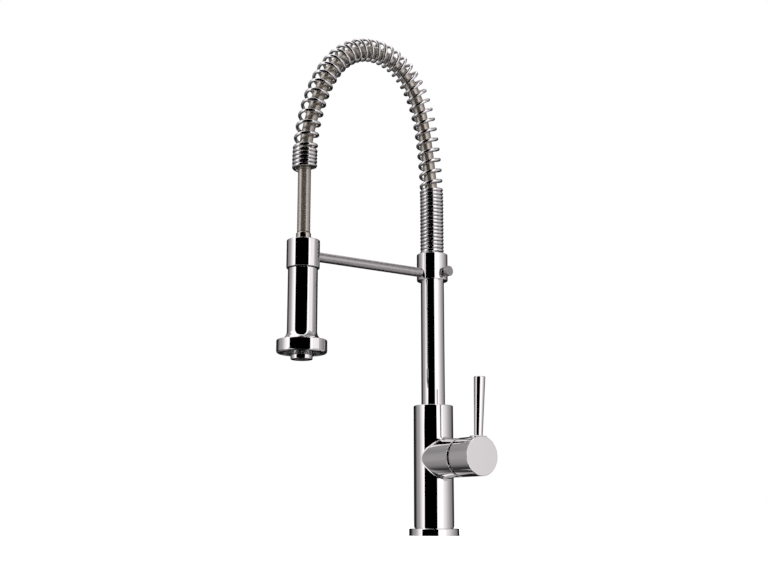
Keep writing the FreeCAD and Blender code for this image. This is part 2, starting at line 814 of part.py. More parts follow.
class Arch:
    """The centreline of the spring: up from the riser, over the arch and down to the open end.

    The tangent turns half a circle. It turns slowly on the legs and quickly over the top.
    """

    def __init__(self):
        self.span = size.reach.value
        self.rise = size.spring_rise.value
        self.start = riser_top.value
        total = 0.0
        rises = [0.0]
        reaches = [0.0]
        for step in range(ARCH_STEPS):
            angle = self.angle((step + 0.5) / ARCH_STEPS)
            total += math.sin(angle)
            reaches.append(total)
            rises.append(rises[-1] + math.cos(angle))
        self.length = self.span * ARCH_STEPS / total
        self.reaches = [value * self.span / total for value in reaches]
        self.rises = [value * self.span / total for value in rises]
        self.crest_end = self.start + self.rise + self.rises[-1]
        self.end = self.crest_end - size.spring_tail.value
        self.total = self.rise + self.length + size.spring_tail.value

    def angle(self, share):
        return (math.pi * share
                - ARCH_SKEW_RATIO * math.sin(math.pi * share)
                - ARCH_FLATNESS_RATIO * math.sin(2 * math.pi * share)
                + ARCH_CROWN_RATIO * math.sin(4 * math.pi * share))

    def bend(self, share):
        """Turn of the tangent for each millimetre."""
        slope = math.pi * (1
                           - ARCH_SKEW_RATIO * math.cos(math.pi * share)
                           - 2 * ARCH_FLATNESS_RATIO * math.cos(2 * math.pi * share)
                           + 4 * ARCH_CROWN_RATIO * math.cos(4 * math.pi * share))
        return slope / self.length

    def at(self, along):
        """Point, tangent angle and bend at a distance along the centreline."""
        if along <= self.rise:
            return Vector(0, 0, self.start + along), 0.0, 0.0
        if along >= self.rise + self.length:
            return Vector(0, -self.span, self.crest_end - (along - self.rise - self.length)), math.pi, 0.0
        share = (along - self.rise) / self.length
        index = min(int(share * ARCH_STEPS), ARCH_STEPS - 1)
        part = share * ARCH_STEPS - index
        reach = self.reaches[index] + part * (self.reaches[index + 1] - self.reaches[index])
        rise = self.rises[index] + part * (self.rises[index + 1] - self.rises[index])
        return Vector(0, -reach, self.start + self.rise + rise), self.angle(share), self.bend(share)


def direction(angle):
    return Vector(0, -math.sin(angle), math.cos(angle))


def biarc(start, start_way, end, end_way):
    """Two arcs that leave start along start_way and reach end along end_way."""
    chord = end - start
    ways = start_way + end_way
    square = 2 * (1 - start_way.dot(end_way))
    linear = chord.dot(ways)
    if square < PARALLEL_LIMIT:
        handle = chord.dot(chord) / (2 * linear)
    else:
        handle = (math.sqrt(linear * linear + square * chord.dot(chord)) - linear) / square
    first = start + start_way * handle
    last = end - end_way * handle
    middle = (first + last) / 2
    return [tangent_arc(start, start_way, middle), tangent_arc(middle, last - first, end)]


def tangent_arc(start, way, end):
    """The arc from start to end that leaves along way, or a line where it is straight."""
    way = Vector(way).normalize()
    chord = end - start
    across = chord - way * chord.dot(way)
    if across.Length < STRAIGHT_LIMIT:
        return Part.LineSegment(start, end).toShape()
    across.normalize()
    radius = chord.dot(chord) / (2 * chord.dot(across))
    centre = start + across * radius
    halfway = ((start + end) / 2 - centre).normalize() * radius + centre
    return Part.Arc(start, halfway, end).toShape()


def swept(edges, radius):
    """A round bar along a chain of lines and arcs, with its volume compared."""
    path = Part.Wire(edges)
    start = edges[0].valueAt(edges[0].FirstParameter)
    way = edges[0].tangentAt(edges[0].FirstParameter)
    section = Part.Wire(Part.Circle(start, way, radius).toShape())
    bar = path.makePipeShell([section], True, False)
    expected = math.pi * radius ** 2 * path.Length
    if abs(bar.Volume - expected) > expected * VOLUME_TOLERANCE:
        raise ValueError(f"the swept bar holds {bar.Volume:.1f} mm3, and not {expected:.1f}")
    return bar


def feature(label, shape):
    item = doc.addObject("Part::Feature", label)
    item.Shape = shape
    item.Placement = FreeCAD.Placement()
    return keep(item)


class Winding:
    """The spring's wire: close turns on the riser, open turns over the arch, close turns at the end."""

    def __init__(self, arch):
        self.arch = arch
        self.turns = round(CLOSE_TURNS_BELOW + OPEN_TURNS + CLOSE_TURNS_ABOVE)
        self.first = size.wire.value / 2 + size.fit.value * 4
        self.close = size.close_pitch.value
        length = arch.total - self.first - size.wire.value / 2
        steps = self.turns * TURN_STEPS
        weights = [self.openness((step + 0.5) / TURN_STEPS) for step in range(steps)]
        spare = length - self.close * self.turns
        self.open_gain = spare * TURN_STEPS / sum(weights)
        self.places = [self.first]
        for weight in weights:
            self.places.append(self.places[-1] + (self.close + self.open_gain * weight) / TURN_STEPS)

    def openness(self, turn):
        """How far a turn is drawn open: 0 where the wire lies close, near 1 over the arch."""
        begin = turn - CLOSE_TURNS_BELOW
        left = self.turns - CLOSE_TURNS_ABOVE - turn
        ramp = max(0.0, min(1.0, begin + HALF_TURN, left + HALF_TURN))
        share = begin / OPEN_TURNS
        stretch = LEG_STRETCH_RATIO * math.cos(2 * math.pi * share)
        drift = LEG_DRIFT_RATIO * (share - 0.5)
        return ramp * ramp * (3 - 2 * ramp) * (1 + stretch + drift)

    def at(self, turn):
        """Point and direction of the wire's centre after so many turns."""
        index = min(int(turn * TURN_STEPS), len(self.places) - 2)
        part = turn * TURN_STEPS - index
        along = self.places[index] + part * (self.places[index + 1] - self.places[index])
        pitch = self.close + self.open_gain * self.openness(turn)
        centre, angle, bend = self.arch.at(along)
        ahead = direction(angle)
        out = Vector(0, -math.cos(angle), -math.sin(angle))
        side = Vector(1, 0, 0)
        coil = size.coil_radius.value
        swing = 2 * math.pi * (turn + WIRE_START)
        point = centre + (out * math.cos(swing) + side * math.sin(swing)) * coil
        way = ahead * pitch * (1 - coil * bend * math.cos(swing))
        way += (side * math.cos(swing) - out * math.sin(swing)) * (2 * math.pi * coil)
        return point, way.normalize()

    def edges(self):
        stations = [self.at(index / ARCS_PER_TURN) for index in range(self.turns * ARCS_PER_TURN + 1)]
        lead = size.wire.value
        point, way = stations[0]
        chain = [Part.LineSegment(point - way * lead, point).toShape()]
        for (start, start_way), (end, end_way) in zip(stations, stations[1:]):
            chain += biarc(start, start_way, end, end_way)
        point, way = stations[-1]
        chain.append(Part.LineSegment(point, point + way * lead).toShape())
        return chain

    def least_gap(self):
        """Least clear distance between the wire and its neighbouring turns, measured on points."""
        count = self.turns * GAP_SAMPLES_PER_TURN
        points = [self.at(index / GAP_SAMPLES_PER_TURN)[0] for index in range(count + 1)]
        skip = GAP_SAMPLES_PER_TURN // 2
        reach = GAP_SAMPLES_PER_TURN * 2
        least = math.inf
        for index, point in enumerate(points):
            for other in points[index + skip:index + reach]:
                least = min(least, point.distanceToPoint(other))
        return least - size.wire.value


def hose_point(arch, along):
    """The hose's centre: pulled tight, it lies against the inner side of the spring over the arch."""
    centre, angle, _ = arch.at(along)
    share = (along - arch.rise) / arch.length
    ramp = max(0.0, min(1.0, share / HUG_RAMP, (1 - share) / HUG_RAMP))
    inward = Vector(0, -math.cos(angle), -math.sin(angle))
    return centre + inward * (size.hose_hug.value * ramp * ramp * (3 - 2 * ramp))


def hose_edges(arch, start):
    """Straight off the nipple, over the arch and straight to the spring's open end."""
    first = Vector(0, 0, start)
    stations = []
    for index in range(HOSE_BIARCS + 1):
        along = arch.rise + arch.length * index / HOSE_BIARCS
        way = hose_point(arch, along + SLOPE_STEP) - hose_point(arch, along - SLOPE_STEP)
        stations.append((hose_point(arch, along), way.normalize()))
    stations[0] = (stations[0][0], direction(0))
    stations[-1] = (stations[-1][0], direction(math.pi))
    chain = [Part.LineSegment(first, stations[0][0]).toShape()]
    for (point, way), (end, end_way) in zip(stations, stations[1:]):
        chain += biarc(point, way, end, end_way)
    chain.append(Part.LineSegment(stations[-1][0], Vector(0, -arch.span, arch.end)).toShape())
    return chain


def make_spring_and_hose():
    arch = Arch()
    size.put("spring_end", arch.end)
    hose_start = riser_top + size.nipple_spigot
    spigot_radius = coil_inside - size.free_gap
    barb_top = hose_start + size.nipple_barb
    plug_radius = riser_bore - size.fit
    keep(turned("hose_nipple", [
        (size.nipple_bore, riser_top - size.nipple_plug),
        (plug_radius, riser_top - size.nipple_plug),
        (plug_radius, riser_top),
        (spigot_radius, riser_top),
        (spigot_radius, hose_start),
        (size.hose_bore - size.fit * 2, hose_start),
        (size.hose_bore - size.fit * 2, barb_top),
        (size.nipple_bore, barb_top),
    ]))
    sleeve_radius = coil_inside - size.sleeve_gap
    keep(tube("hose_sleeve", size.hose_radius + size.fit, sleeve_radius, hose_start,
              hose_start + size.sleeve_length))

    route = hose_edges(arch, hose_start.value)
    feature("hose_main", swept(route, size.hose_radius.value).cut(swept(route, size.hose_bore.value)))
    winding = Winding(arch)
    gap = winding.least_gap()
    print(f"guide_spring: {winding.turns} turns, least gap to itself {gap:.2f} mm")
    if gap <= LEAST_SPRING_GAP:
        raise ValueError("the spring's turns lie too close")
    feature("guide_spring", swept(winding.edges(), size.wire.value / 2))
    keep(tube("spring_guide", size.hose_radius + size.fit, spigot_radius, size.spring_end + size.guide_recess,
              size.spring_end + size.spring_tail, spray_axis))
    keep(tube("hose_drop", size.hose_bore, size.hose_radius, ring_top + size.ferrule_rise,
              size.spring_end, spray_axis))


# Heights down the hand spray.
grip_top = ring_foot - size.dock_gap
neck_top = ring_top - size.neck_recess
neck_seat = grip_top + size.neck_seat_rise
grip_bore = size.grip_radius - size.grip_wall
grip_ceiling = grip_top - size.grip_roof
flare_top = grip_top - size.grip_straight
grip_foot = flare_top - size.flare_height
core_foot = grip_foot + size.core_inset
bell_top = grip_foot - size.bell_gap
bell_foot = bell_top - size.bell_height
recess_floor = bell_foot + size.bell_recess
counterbore_floor = recess_floor + size.bell_counterbore
clip_top = counterbore_floor - size.fit * 2
clip_foot = clip_top - size.clip_thickness
clip_groove = size.core_spigot_radius - size.clip_depth
counterbore_radius = size.aerator_neck_radius + size.fit * 2
mat_foot = recess_floor - size.mat_thickness
face_foot = mat_foot - size.face_thickness


def make_hose_end():
    washer_top = neck_seat + size.washer_thickness
    flange_top = washer_top + size.tail_flange_height
    ferrule_foot = neck_top + size.free_gap
    ferrule_top = ring_top + size.ferrule_rise
    keep(tube("hose_washer", size.washer_bore, size.tail_flange_radius, neck_seat, washer_top, spray_axis))
    keep(turned("hose_tail", [
        (size.tail_bore, washer_top),
        (size.tail_flange_radius, washer_top),
        (size.tail_flange_radius, flange_top),
        (size.tail_radius, flange_top),
        (size.tail_radius, ferrule_top),
        (size.tail_bore, ferrule_top),
    ], spray_axis))
    keep(rounded_tube("hose_ferrule", size.tail_radius + size.fit, size.ferrule_radius, ferrule_foot,
                      ferrule_top, size.ferrule_edge, spray_axis))
    keep(tube("hose_nut", size.tail_radius + size.free_gap, size.neck_socket_radius - size.fit,
              flange_top + size.free_gap, neck_top, spray_axis))


def make_spray_head():
    keep(turned("spray_neck", [
        (size.neck_bore, grip_ceiling),
        (size.neck_thread_radius, grip_ceiling),
        (size.neck_thread_radius, grip_top),
        (size.neck_radius, grip_top),
        (size.neck_radius, neck_top),
        (size.neck_socket_radius, neck_top),
        (size.neck_socket_radius, neck_seat),
        (size.neck_bore, neck_seat),
    ], spray_axis))
    keep(turned("spray_grip", [
        (grip_bore, grip_foot),
        (size.grip_radius + size.flare_out, grip_foot),
        (size.grip_radius, flare_top, -size.flare_radius),
        (size.grip_radius, grip_top - size.grip_edge),
        (size.grip_radius - size.grip_edge, grip_top, size.grip_edge),
        (size.neck_thread_radius + size.fit, grip_top),
        (size.neck_thread_radius + size.fit, grip_ceiling),
        (grip_bore, grip_ceiling),
    ], spray_axis))
    valve_foot = grip_ceiling - size.valve_length
    keep(turned("spray_core", [
        (size.core_bore, clip_foot - size.clip_thickness / 2),
        (size.core_spigot_radius, clip_foot - size.clip_thickness / 2),
        (size.core_spigot_radius, clip_foot),
        (clip_groove, clip_foot),
        (clip_groove, clip_top),
        (size.core_spigot_radius, clip_top),
        (size.core_spigot_radius, core_foot),
        (grip_bore - size.fit, core_foot),
        (grip_bore - size.fit, grip_ceiling),
        (size.valve_radius + size.fit, grip_ceiling),
        (size.valve_radius + size.fit, valve_foot),
        (size.core_bore, valve_foot),
    ], spray_axis))
    keep(tube("check_valve", size.valve_bore, size.valve_radius, valve_foot, grip_ceiling, spray_axis))
    keep(tube("bell_clip", clip_groove + size.fit, clip_groove + size.clip_width, clip_foot,
              clip_top, spray_axis))


def nozzle_rods(name, radius, low, length):
    rods = []
    for x, y in ring_places(NOZZLES, size.nozzle_circle):
        rods.append(rod(name, radius, length, (x, y - size.reach, low)))
    return rods


def make_selector():
    recess_radius = size.bell_radius - size.bell_rim
    hub_bore = size.core_spigot_radius + size.running
    keep(turned("spray_bell", [
        (recess_radius, bell_foot),
        (size.bell_radius - size.bell_edge, bell_foot),
        (size.bell_radius, bell_foot + size.bell_edge, size.bell_edge),
        (size.bell_radius, bell_top - size.bell_top_edge),
        (size.bell_radius - size.bell_top_edge, bell_top, size.bell_top_edge),
        (hub_bore, bell_top),
        (hub_bore, counterbore_floor),
        (counterbore_radius, counterbore_floor),
        (counterbore_radius, recess_floor),
        (recess_radius, recess_floor),
    ], spray_axis))
    plate = tube("spray_face_plate", size.aerator_neck_radius + size.fit, recess_radius - size.fit, face_foot,
                 mat_foot, spray_axis)
    holes = nozzle_rods("nozzle_hole", size.nozzle_radius + size.fit * 2, face_foot, size.face_thickness)
    keep(cut("spray_face", plate, holes))
    mat = tube("nozzle_mat_sheet", size.nozzle_circle - size.nozzle_band,
               size.nozzle_circle + size.nozzle_band, mat_foot, recess_floor, spray_axis)
    nubs = nozzle_rods("nozzle_nub", size.nozzle_radius, face_foot - size.nozzle_stand,
                       recess_floor - face_foot + size.nozzle_stand)
    keep(joined("nozzle_mat", [mat] + nubs))

    aerator_foot = bell_foot - size.aerator_drop
    lip_top = aerator_foot + size.aerator_lip
    aerator_top = face_foot + size.aerator_neck_length
    keep(turned("aerator_housing", [
        (size.aerator_bore - size.aerator_lip, aerator_foot),
        (size.aerator_radius - size.aerator_edge, aerator_foot),
        (size.aerator_radius, aerator_foot + size.aerator_edge, size.aerator_edge),
        (size.aerator_radius, face_foot),
        (size.aerator_neck_radius, face_foot),
        (size.aerator_neck_radius, aerator_top),
        (size.aerator_bore, aerator_top),
        (size.aerator_bore, lip_top),
        (size.aerator_bore - size.aerator_lip, lip_top),
    ], spray_axis))
    blank = rod("aerator_insert_blank", size.aerator_bore - size.fit, size.insert_length,
                (0, -size.reach, lip_top))
    jets = [rod("aerator_jet", size.insert_jet_radius, size.insert_length, (0, -size.reach, lip_top))]
    for x, y in ring_places(INSERT_JETS, size.insert_jet_circle):
        jets.append(rod("aerator_jet", size.insert_jet_radius, size.insert_length,
                        (x, y - size.reach, lip_top)))
    keep(cut("aerator_insert", blank, jets))


def check_document():
    failed = [item.Label for item in doc.Objects if {"Invalid", "Error"} & set(item.State)]
    if failed:
        raise ValueError(f"failed objects: {failed}")
    for item in pieces:
        shape = item.Shape
        if shape.isNull() or not shape.isValid() or not shape.Solids:
            raise ValueError(f"{item.Label} has no valid solid")


make_base()
make_mixer_body()
make_cartridge()
make_handle()
make_swivel()
make_dock()
make_spring_and_hose()
make_hose_end()
make_spray_head()
make_selector()
doc.recompute()
check_document()
os.makedirs("parts", exist_ok=True)
for piece in pieces:
    piece.Shape.exportStep(f"parts/{piece.Label}.step")
print(f"{len(pieces)} pieces")
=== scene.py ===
import json
import math

import bpy
from mathutils import Matrix, Vector


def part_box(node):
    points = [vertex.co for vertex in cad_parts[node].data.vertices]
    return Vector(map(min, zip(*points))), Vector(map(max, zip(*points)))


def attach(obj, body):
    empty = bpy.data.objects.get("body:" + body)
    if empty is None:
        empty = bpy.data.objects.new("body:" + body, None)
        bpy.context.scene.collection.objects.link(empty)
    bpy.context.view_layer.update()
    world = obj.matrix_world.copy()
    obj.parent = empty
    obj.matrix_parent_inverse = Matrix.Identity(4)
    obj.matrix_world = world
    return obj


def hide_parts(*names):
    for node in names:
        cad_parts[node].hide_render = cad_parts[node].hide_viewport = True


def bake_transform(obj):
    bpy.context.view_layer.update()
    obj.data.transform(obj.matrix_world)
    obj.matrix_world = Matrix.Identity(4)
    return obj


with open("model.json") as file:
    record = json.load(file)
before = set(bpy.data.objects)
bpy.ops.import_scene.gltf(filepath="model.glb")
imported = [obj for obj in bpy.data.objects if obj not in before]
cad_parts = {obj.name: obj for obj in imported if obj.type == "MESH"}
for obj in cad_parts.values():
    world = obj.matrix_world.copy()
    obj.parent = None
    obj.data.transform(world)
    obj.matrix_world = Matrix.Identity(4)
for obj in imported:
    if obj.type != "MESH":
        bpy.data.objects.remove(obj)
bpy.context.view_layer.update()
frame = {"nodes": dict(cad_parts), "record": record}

nodes = frame["nodes"]
MM = 0.001

# Camera: image width and focal length in pixels, sensor in millimetres, places in metres, angles in radians.
IMAGE_WIDTH = 768
FOCAL_PX = 1133.724
SENSOR = 36.0
CAMERA_DISTANCE = 1.15283
CAMERA_HEIGHT = 0.01426
CAMERA_AZIMUTH = 0.9291
CAMERA_YAW = 0.0435
CAMERA_PITCH = 0.2027
CAMERA_ROLL = 0.0011
CLIP_START = 0.01
CLIP_END = 50


def link(obj):
    bpy.context.scene.collection.objects.link(obj)
    return obj


def make_camera():
    heading = CAMERA_AZIMUTH + CAMERA_YAW
    ahead = Vector((-math.sin(heading) * math.cos(CAMERA_PITCH),
                    math.cos(heading) * math.cos(CAMERA_PITCH),
                    math.sin(CAMERA_PITCH)))
    level = Vector((math.cos(heading), math.sin(heading), 0))
    above = level.cross(ahead)
    right = level * math.cos(CAMERA_ROLL) + above * math.sin(CAMERA_ROLL)
    up = above * math.cos(CAMERA_ROLL) - level * math.sin(CAMERA_ROLL)
    data = bpy.data.cameras.new("camera")
    data.sensor_width = SENSOR
    data.lens = SENSOR * FOCAL_PX / IMAGE_WIDTH
    data.clip_start = CLIP_START
    data.clip_end = CLIP_END
    camera = link(bpy.data.objects.new("camera", data))
    turn = Matrix((right, up, -ahead)).transposed().to_4x4()
    place = (CAMERA_DISTANCE * math.sin(CAMERA_AZIMUTH),
             -CAMERA_DISTANCE * math.cos(CAMERA_AZIMUTH),
             CAMERA_HEIGHT)
    camera.matrix_world = Matrix.Translation(place) @ turn
    bpy.context.scene.camera = camera


make_camera()


class Shader:
    """A material's node tree with short calls for its nodes."""

    # The Mix node's colour sockets share their names with its other sockets, so they go by number.
    MIX_FIRST = 6
    MIX_SECOND = 7
    MIX_RESULT = 2

    def __init__(self, name):
        self.material = bpy.data.materials.new(name)
        self.material.use_nodes = True
        self.tree = self.material.node_tree
        self.tree.nodes.clear()
        self.output = self.add("ShaderNodeOutputMaterial")

    def add(self, kind, settings=None, **inputs):
        node = self.tree.nodes.new(kind)
        for key, value in (settings or {}).items():
            setattr(node, key, value)
        for key, value in inputs.items():
            self.put(node.inputs[key.replace("_", " ")], value)
        return node

    def put(self, socket, value):
        if isinstance(value, bpy.types.NodeSocket):
            self.tree.links.new(value, socket)
        else:
            socket.default_value = value

    def coordinates(self):
        return self.add("ShaderNodeTexCoord").outputs["Object"]

    def noise(self, scale, detail):
        node = self.add("ShaderNodeTexNoise", Scale=scale, Detail=detail, Vector=self.coordinates())
        return node.outputs["Fac"]

    def attribute(self, name):
        return self.add("ShaderNodeAttribute", {"attribute_name": name}).outputs["Fac"]

    def spread(self, value, low, high, begin=0.3, end=0.7):
        """A value between begin and end, stretched to run from low to high."""
        node = self.add("ShaderNodeMapRange", Value=value)
        for key, number in (("From Min", begin), ("From Max", end), ("To Min", low), ("To Max", high)):
            node.inputs[key].default_value = number
        return node.outputs["Result"]

    def blend(self, share, first, second):
        node = self.add("ShaderNodeMix", {"data_type": "RGBA"})
        self.put(node.inputs["Factor"], share)
        self.put(node.inputs[self.MIX_FIRST], (*first, 1))
        self.put(node.inputs[self.MIX_SECOND], (*second, 1))
        return node.outputs[self.MIX_RESULT]

    def bump(self, height, strength, distance):
        node = self.add("ShaderNodeBump", Strength=strength, Distance=distance, Height=height)
        return node.outputs["Normal"]

    def finish(self, shader):
        self.put(self.output.inputs["Surface"], shader)
        return self.material

    def surface(self, **inputs):
        return self.finish(self.add("ShaderNodeBsdfPrincipled", **inputs).outputs["BSDF"])


# Finishes. The spreads are shares of a finish's roughness, and the tones are linear.
METAL = 1.0
NOT_METAL = 0.0
CHROME_TONE = 0.86
CHROME_CLOUD = 0.985
CHROME_COOLNESS = 1.006
CHROME_SPREAD = 0.3
CHROME_ROUGHNESS = 0.012
SPRING_ROUGHNESS = 0.025
PLAIN_SPREAD = 0.2
# The groove tone is painted shade between the braid's strands; the crest tone is the steel's own colour.
GROOVE_SHADE_TONE = (0.13, 0.11, 0.085)
CREST_TONE = (0.74, 0.69, 0.62)
GROOVE_HEIGHT = 0.3
CREST_HEIGHT = 0.95


def make_chrome(name, roughness):
    """Polished plate: near-mirror, with faint clouding and wipe marks."""
    s = Shader(name)
    cloud = s.noise(scale=34.0, detail=2.0)
    marks = s.noise(scale=220.0, detail=4.0)
    clouded = [CHROME_TONE * CHROME_CLOUD] * 3
    clear = [CHROME_TONE, CHROME_TONE, CHROME_TONE * CHROME_COOLNESS]
    colour = s.blend(s.spread(cloud, 0, 1), clouded, clear)
    rough = s.spread(marks, roughness * (1 - CHROME_SPREAD), roughness * (1 + CHROME_SPREAD))
    return s.surface(Base_Color=colour, Metallic=METAL, Roughness=rough)


def make_plain(name, first, second, metallic, roughness):
    """A finish with a fine grain between two tones."""
    s = Shader(name)
    grain = s.noise(scale=260.0, detail=4.0)
    colour = s.blend(s.spread(grain, 0, 1), first, second)
    rough = s.spread(grain, roughness * (1 - PLAIN_SPREAD), roughness * (1 + PLAIN_SPREAD))
    return s.surface(Base_Color=colour, Metallic=metallic, Roughness=rough)


def make_braid(name):
    """Steel braid under a clear jacket: pale steel on the crests, with painted shade darkening the grooves.
    """
    s = Shader(name)
    # Painted shade: the braid's grooves are darkened by their height.
    share = s.spread(s.attribute("crest"), 0, 1, GROOVE_HEIGHT, CREST_HEIGHT)
    braid_tone_and_groove_shade = s.blend(share, GROOVE_SHADE_TONE, CREST_TONE)
    grain = s.noise(scale=900.0, detail=3.0)
    rough = s.spread(grain, low=0.2, high=0.3)
    fine = s.bump(grain, strength=0.1, distance=0.0002)
    return s.surface(Base_Color=braid_tone_and_groove_shade, Metallic=0.9, Roughness=rough, Normal=fine,
                     Coat_Weight=0.4, Coat_Roughness=0.1)


finishes = {
    "chrome": make_chrome("polished_chrome", CHROME_ROUGHNESS),
    "spring_chrome": make_chrome("spring_chrome", SPRING_ROUGHNESS),
    "satin_steel": make_plain("satin_steel", (0.47, 0.46, 0.46), (0.54, 0.53, 0.53), METAL, 0.3),
    "brass": make_plain("machined_brass", (0.68, 0.52, 0.26), (0.76, 0.6, 0.33), METAL, 0.25),
    "braided_hose": make_braid("braided_hose"),
    "rubber": make_plain("moulded_rubber", (0.05, 0.05, 0.05), (0.08, 0.08, 0.08), NOT_METAL, 0.6),
    "crimp": make_plain("crimped_ferrule", (0.56, 0.52, 0.46), (0.64, 0.6, 0.54), METAL, 0.16),
    "ceramic": make_plain("lapped_ceramic", (0.84, 0.82, 0.78), (0.9, 0.89, 0.86), NOT_METAL, 0.2),
    "plastic": make_plain("moulded_plastic", (0.018, 0.018, 0.02), (0.03, 0.03, 0.032), NOT_METAL, 0.6),
}
# Nodes that don't look like the rest of their slot.
look_of = {"hose_ferrule": "crimp", "hose_nipple": "chrome"}
slot_of = {row["node"]: row["material_slot"] for row in frame["record"]["subparts"]}
for node, obj in nodes.items():
    obj.data.materials.clear()
    obj.data.materials.append(finishes[look_of.get(node, slot_of[node])])

# The spring's centreline, in millimetres: up from the riser, over the arch and down to the open end.
RISER_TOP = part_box("riser_tube")[1][2] / MM
REACH = -(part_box("hose_drop")[0][1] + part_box("hose_drop")[1][1]) / 2 / MM
SPRING_RISE = 53.0
SPRING_TAIL = 8.4
ARCH_SKEW = 0.155
ARCH_FLATNESS = 0.441
ARCH_CROWN = 0.077
ARCH_STEPS = 600


def smooth(value):
    value = max(0.0, min(1.0, value))
    return value * value * (3 - 2 * value)


def arch_angle(share):
    """The tangent's lean from upright: it turns slowly on the legs and quickly over the top."""
    return (math.pi * share
            - ARCH_SKEW * math.sin(math.pi * share)
            - ARCH_FLATNESS * math.sin(2 * math.pi * share)
            + ARCH_CROWN * math.sin(4 * math.pi * share))


class Arch:
    """The centreline, with the arch as points of reach and rise above the straight foot."""

    def __init__(self):
        points = [(0.0, 0.0)]
        for step in range(ARCH_STEPS):
            angle = arch_angle((step + 0.5) / ARCH_STEPS)
            reach, rise = points[-1]
            points.append((reach + math.sin(angle), rise + math.cos(angle)))
        scale = REACH / points[-1][0]
        self.points = [(reach * scale, rise * scale) for reach, rise in points]
        self.length = ARCH_STEPS * scale
        self.total = SPRING_RISE + self.length + SPRING_TAIL

    def share(self, along):
        return max(0.0, min(1.0, (along - SPRING_RISE) / self.length))

    def at(self, along):
        """Centre, direction and inward direction at a distance from the riser's top."""
        share = self.share(along)
        index = min(int(share * ARCH_STEPS), ARCH_STEPS - 1)
        part = share * ARCH_STEPS - index
        reach, rise = (a + (b - a) * part for a, b in zip(self.points[index], self.points[index + 1]))
        angle = arch_angle(share)
        ahead = Vector((0, -math.sin(angle), math.cos(angle)))
        inward = Vector((0, -math.cos(angle), -math.sin(angle)))
        over = min(along - SPRING_RISE, 0) + max(along - SPRING_RISE - self.length, 0)
        return Vector((0, -reach, RISER_TOP + SPRING_RISE + rise)) + ahead * over, ahead, inward


arch = Arch()


def make_mesh(name, verts, faces, finish, crests=None):
    """A smooth piece from points in millimetres, with the heights of its braid if it has one."""
    mesh = bpy.data.meshes.new(name)
    mesh.from_pydata([Vector(vert) * MM for vert in verts], [], faces)
    mesh.shade_smooth()
    if crests:
        mesh.attributes.new("crest", "FLOAT", "POINT").data.foreach_set("value", crests)
    mesh.materials.append(finish)
    return link(bpy.data.objects.new(name, mesh))


def skin(rings, around):
    """Faces of a bar whose rings of points follow each other, with both ends closed."""
    faces = [tuple(reversed(range(around)))]
    for ring in range(rings - 1):
        first = ring * around
        for index in range(around):
            after = (index + 1) % around
            faces.append((first + index, first + after, first + around + after, first + around + index))
    last = (rings - 1) * around
    faces.append(tuple(last + index for index in range(around)))
    return faces


# The spring's wire: lengths in millimetres, and counts of turns.
WIRE = 3.4
COIL_RADIUS = 10.6
FIRST_TURN = 1.9
CLOSE_PITCH = 3.84
LEG_STRETCH = 0.26
LEG_DRIFT = 0.12
CLOSE_BELOW = 17.8
OPEN_TURNS = 32.8
CLOSE_ABOVE = 5.4
OPENING_LEAD = 0.5
TURNS = round(CLOSE_BELOW + OPEN_TURNS + CLOSE_ABOVE)
WIRE_START = -0.25
STEPS_PER_TURN = 48
WIRE_SIDES = 14


def openness(turn):
    """How far a turn is drawn open: 0 where the wire lies close, near 1 over the arch."""
    begin = turn - CLOSE_BELOW
    left = TURNS - CLOSE_ABOVE - turn
    share = begin / OPEN_TURNS
    swell = 1 + LEG_STRETCH * math.cos(2 * math.pi * share) + LEG_DRIFT * (share - 0.5)
    return smooth(min(begin, left) + OPENING_LEAD) * swell


def wire_points():
    """The wire's centre and outward direction at each step, with a short straight lead at both ends."""
    steps = TURNS * STEPS_PER_TURN
    weights = [openness((step + 0.5) / STEPS_PER_TURN) for step in range(steps)]
    length = arch.total - FIRST_TURN - WIRE / 2
    gain = (length - CLOSE_PITCH * TURNS) * STEPS_PER_TURN / sum(weights)
    along = FIRST_TURN
    points = []
    for step in range(steps + 1):
        centre, _, inward = arch.at(along)
        swing = 2 * math.pi * (step / STEPS_PER_TURN + WIRE_START)
        out = inward * math.cos(swing) + Vector((math.sin(swing), 0, 0))
        points.append((centre + out * COIL_RADIUS, out))
        if step < steps:
            along += (CLOSE_PITCH + gain * weights[step]) / STEPS_PER_TURN
    for end, beside in ((0, 1), (-1, -2)):
        way = (points[end][0] - points[beside][0]).normalized()
        lead = (points[end][0] + way * WIRE, points[end][1])
        points.insert(0 if end == 0 else len(points), lead)
    return points


def make_spring():
    points = wire_points()
    verts = []
    for index, (point, out) in enumerate(points):
        before = points[max(index - 1, 0)][0]
        after = points[min(index + 1, len(points) - 1)][0]
        way = (after - before).normalized()
        across = (out - way * out.dot(way)).normalized()
        beside = way.cross(across)
        for side in range(WIRE_SIDES):
            angle = 2 * math.pi * side / WIRE_SIDES
            verts.append(point + (across * math.cos(angle) + beside * math.sin(angle)) * (WIRE / 2))
    wire = make_mesh("spring_wire", verts, skin(len(points), WIRE_SIDES), finishes["spring_chrome"])
    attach(wire, "spout")
    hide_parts("guide_spring")


# The hose, in millimetres: a braid of strands that cross over and under each other.
HOSE_RADIUS = 6.4
HOSE_HUG = 2.2
HUG_RAMP = 0.2
BRAID_DEPTH = 0.1
BRAID_STRANDS = 22
BRAID_LAY = 36.0
STRAND_WEAVE = 0.25
HOSE_SIDES = 110
HOSE_STEP = 0.5


def braid(around, along):
    """Height of the braid between 0 and 1."""
    turn = BRAID_STRANDS / 2 * around
    lead = BRAID_STRANDS * math.pi * along / BRAID_LAY
    first = math.sin(turn + lead)
    second = math.sin(turn - lead)
    over = first * second * STRAND_WEAVE
    level = 1 - STRAND_WEAVE
    return max(abs(first) * (level + over), abs(second) * (level - over))


def hose_point(along):
    """The hose's centre, way and inward direction; over the arch it lies on the spring's inner side."""
    centre, ahead, inward = arch.at(along)
    share = arch.share(along)
    hug = HOSE_HUG * smooth(min(share, 1 - share) / HUG_RAMP)
    return centre + inward * hug, ahead, inward


